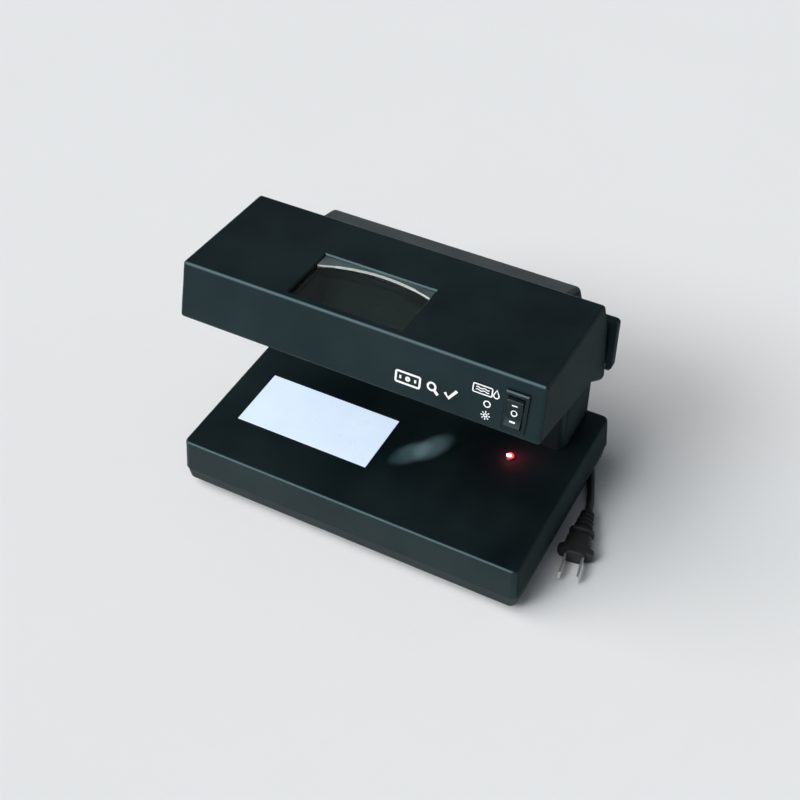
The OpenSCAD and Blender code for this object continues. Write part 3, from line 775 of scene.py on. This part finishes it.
def switch_signs():
    """Beside the switch: a sheet with a drop, a ring, and a small sun."""
    line, thin = 0.85, 0.75
    x = -19.0
    sheet_y, ring_y, sun_y = 7.2, -1.8, -10.2
    strokes = [
        (arc(x + 5.2, 6.2, 1.8, -215, 35, 20) + [(x + 5.2, 10.4)], line, True),
        (box_path(x - 4.2, sheet_y, 13, 6.0, 0.8), line, True),
        (arc(x, ring_y, 2.1), line, True),
        (arc(x, sun_y, 1.1), line, True),
    ]
    for k in range(8):
        c, s = math.cos(math.pi * k / 4), math.sin(math.pi * k / 4)
        strokes.append(([(x + 2.0 * c, sun_y + 2.0 * s), (x + 3.2 * c, sun_y + 3.2 * s)],
                        thin, False))
    for row in range(2):
        y = 6.3 + 1.8 * row
        wave = [(x - 8.7 + k, y + 0.4 * math.sin(1.4 * k)) for k in range(10)]
        strokes.append((wave, thin, False))
    return strokes


def add_front_marks():
    """Generic pictograms in place of the head's printed words."""
    add_marks("front_pictograms", checking_row() + switch_signs(), FRONT_FRAME, "shell_black")


def add_rocker_marks():
    """Bar, ring and bar, laid on the rocker's dished face."""
    bar_half, bar_y = 1.9, 5.9
    strokes = [
        ([(-bar_half, bar_y), (bar_half, bar_y)], 1.1, False),
        (arc(0, 0, 1.85), 0.7, True),
        ([(-bar_half, -bar_y), (bar_half, -bar_y)], 1.1, False),
    ]
    marks = add_marks("rocker_marks", strokes, Matrix.Identity(4), "trim_black", body=None)
    for vert in marks.data.vertices:
        vert.co.z += ROCKER_PIVOT + ROCKER_DISH + ROCKER_SLOPE * abs(vert.co.y)
    marks.data.transform(FRONT_FRAME)
    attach(marks, "rocker")


# ---------------------------------------------------------------- stage

def add_floor():
    """Pale table top, so wide that no view sees its edge."""
    half = 30.0
    floor = add_mesh("table_top", [(-half, -half, 0), (half, -half, 0), (half, half, 0),
                                   (-half, half, 0)], [(0, 1, 2, 3)], body=None)
    floor.data.materials.append(LOOKS["table"])


def add_light(name, kind, energy, place, aim=(0, 0, 0), **settings):
    """A light at a place, turned towards its aim."""
    data = bpy.data.lights.new(name, kind)
    data.energy = energy
    for key, value in settings.items():
        setattr(data, key, value)
    light = bpy.data.objects.new(name, data)
    light.location = place
    light.rotation_euler = (Vector(aim) - Vector(place)).to_track_quat("-Z", "Y").to_euler()
    bpy.context.scene.collection.objects.link(light)
    return light


def add_daylight():
    """Wide soft light from the front left, and a narrower one on the front top edges."""
    add_light("key", "SUN", 2.6, (-1.1, -0.95, 1.6), angle=math.radians(62),
              color=(1.0, 0.99, 0.98))
    add_light("edge_light", "SUN", 1.0, (-0.33, -0.67, 0.61), angle=math.radians(22),
              color=(0.92, 0.98, 1.0))


def add_led_glow():
    """Red light that the indicator throws on the deck round it."""
    above_dome = 0.003
    low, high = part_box("indicator_led")
    place = Vector(((low[0] + high[0]) / 2, (low[1] + high[1]) / 2, high[2] + above_dome))
    glow = add_light("led_glow", "POINT", 0.045, place, color=(1.0, 0.05, 0.10),
                     shadow_soft_size=0.0)
    glow.visible_glossy = False


def add_lens_light():
    """Soft slanted streak that light through the lens leaves on the deck."""
    below_lens = LENS_FRAME @ Vector((0, 0, LENS_BASE - 0.002))
    for aim in ((0.017, -0.018, DECK_Z), (0.028, -0.006, DECK_Z)):
        streak = add_light("lens_light", "SPOT", 8.5, below_lens, aim,
                           spot_size=math.radians(17), spot_blend=1.0, shadow_soft_size=0.0,
                           color=(1.0, 0.9, 0.9))
        streak.rotation_euler.rotate_axis("Z", math.radians(42))
        streak.scale = (0.5, 1.0, 1.0)
        streak.visible_glossy = False


def add_room():
    """Room light that is pale at the horizon and dim overhead."""
    world = bpy.data.worlds.new("studio")
    world.use_nodes = True
    nodes, links = world.node_tree.nodes, world.node_tree.links
    sky = nodes["Background"]
    sky.inputs["Color"].default_value = (0.82, 0.93, 1.0, 1)
    axes = nodes.new("ShaderNodeSeparateXYZ")
    fade = nodes.new("ShaderNodeMapRange")
    fade.interpolation_type = "SMOOTHSTEP"
    for socket, value in (("From Min", 0.0), ("From Max", 0.20),
                          ("To Min", 0.75), ("To Max", 0.15)):
        fade.inputs[socket].default_value = value
    links.new(nodes.new("ShaderNodeTexCoord").outputs["Generated"], axes.inputs["Vector"])
    links.new(axes.outputs["Z"], fade.inputs["Value"])
    links.new(fade.outputs["Result"], sky.inputs["Strength"])
    bpy.context.scene.world = world


# ---------------------------------------------------------------- build

add_camera()
LOOKS = {look.name: look.material for look in (
    plastic_looks() + metal_looks() + sheet_looks() + lamp_looks() + extra_looks())}
cord, cord_route = add_cord()
tie = add_coil_tie()
plug = add_plug()
dress_nodes()
add_lens()
add_led_core()
add_front_marks()
add_rocker_marks()
add_floor()
add_daylight()
add_led_glow()
add_lens_light()
add_room()
bpy.context.scene.view_settings.view_transform = "Standard"

bpy.context.view_layer.update()
